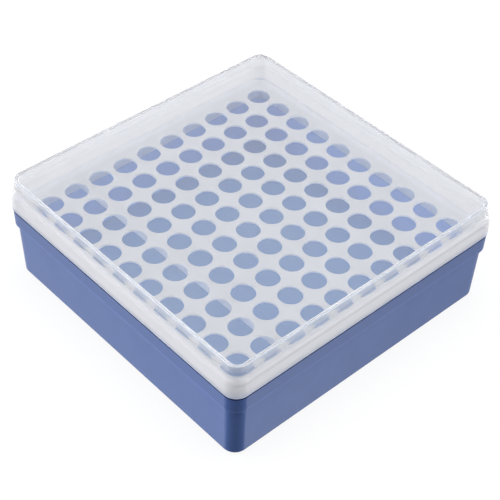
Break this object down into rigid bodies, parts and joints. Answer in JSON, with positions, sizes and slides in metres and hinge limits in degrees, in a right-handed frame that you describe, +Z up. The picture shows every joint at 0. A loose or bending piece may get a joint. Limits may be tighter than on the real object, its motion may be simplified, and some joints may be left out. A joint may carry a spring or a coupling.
{
  "type": "cryogenic storage box",
  "caption": "Square cryogenic storage box: a blue base tray, a white perforated tube rack that drops into it, and a translucent lift-off lid.",
  "frame": {"origin": "centre of the underside, on the table", "axes": "+Z up; +X and +Y along the sides of the square; the rack's one deep rib runs along X on the -Y side"},
  "size_m": [0.1554, 0.1554, 0.0539],
  "materials": {
    "base_plastic": "blue moulded polypropylene, satin",
    "rack_plastic": "white moulded polypropylene, satin, slightly translucent",
    "lid_plastic": "natural translucent polypropylene, satin"
  },
  "bodies": {
    "base": {"base_tray": "base_plastic"},
    "rack": {"tube_rack": "rack_plastic"},
    "lid": {"lid": "lid_plastic"}
  },
  "joints": [
    {"name": "rack_lift", "type": "slide", "parent": "base", "child": "rack", "axis": [0, 0, 1], "range_m": [0, 0.06]},
    {"name": "lid_lift", "type": "slide", "parent": "rack", "child": "lid", "axis": [0, 0, 1], "range_m": [0, 0.06]}
  ]
}
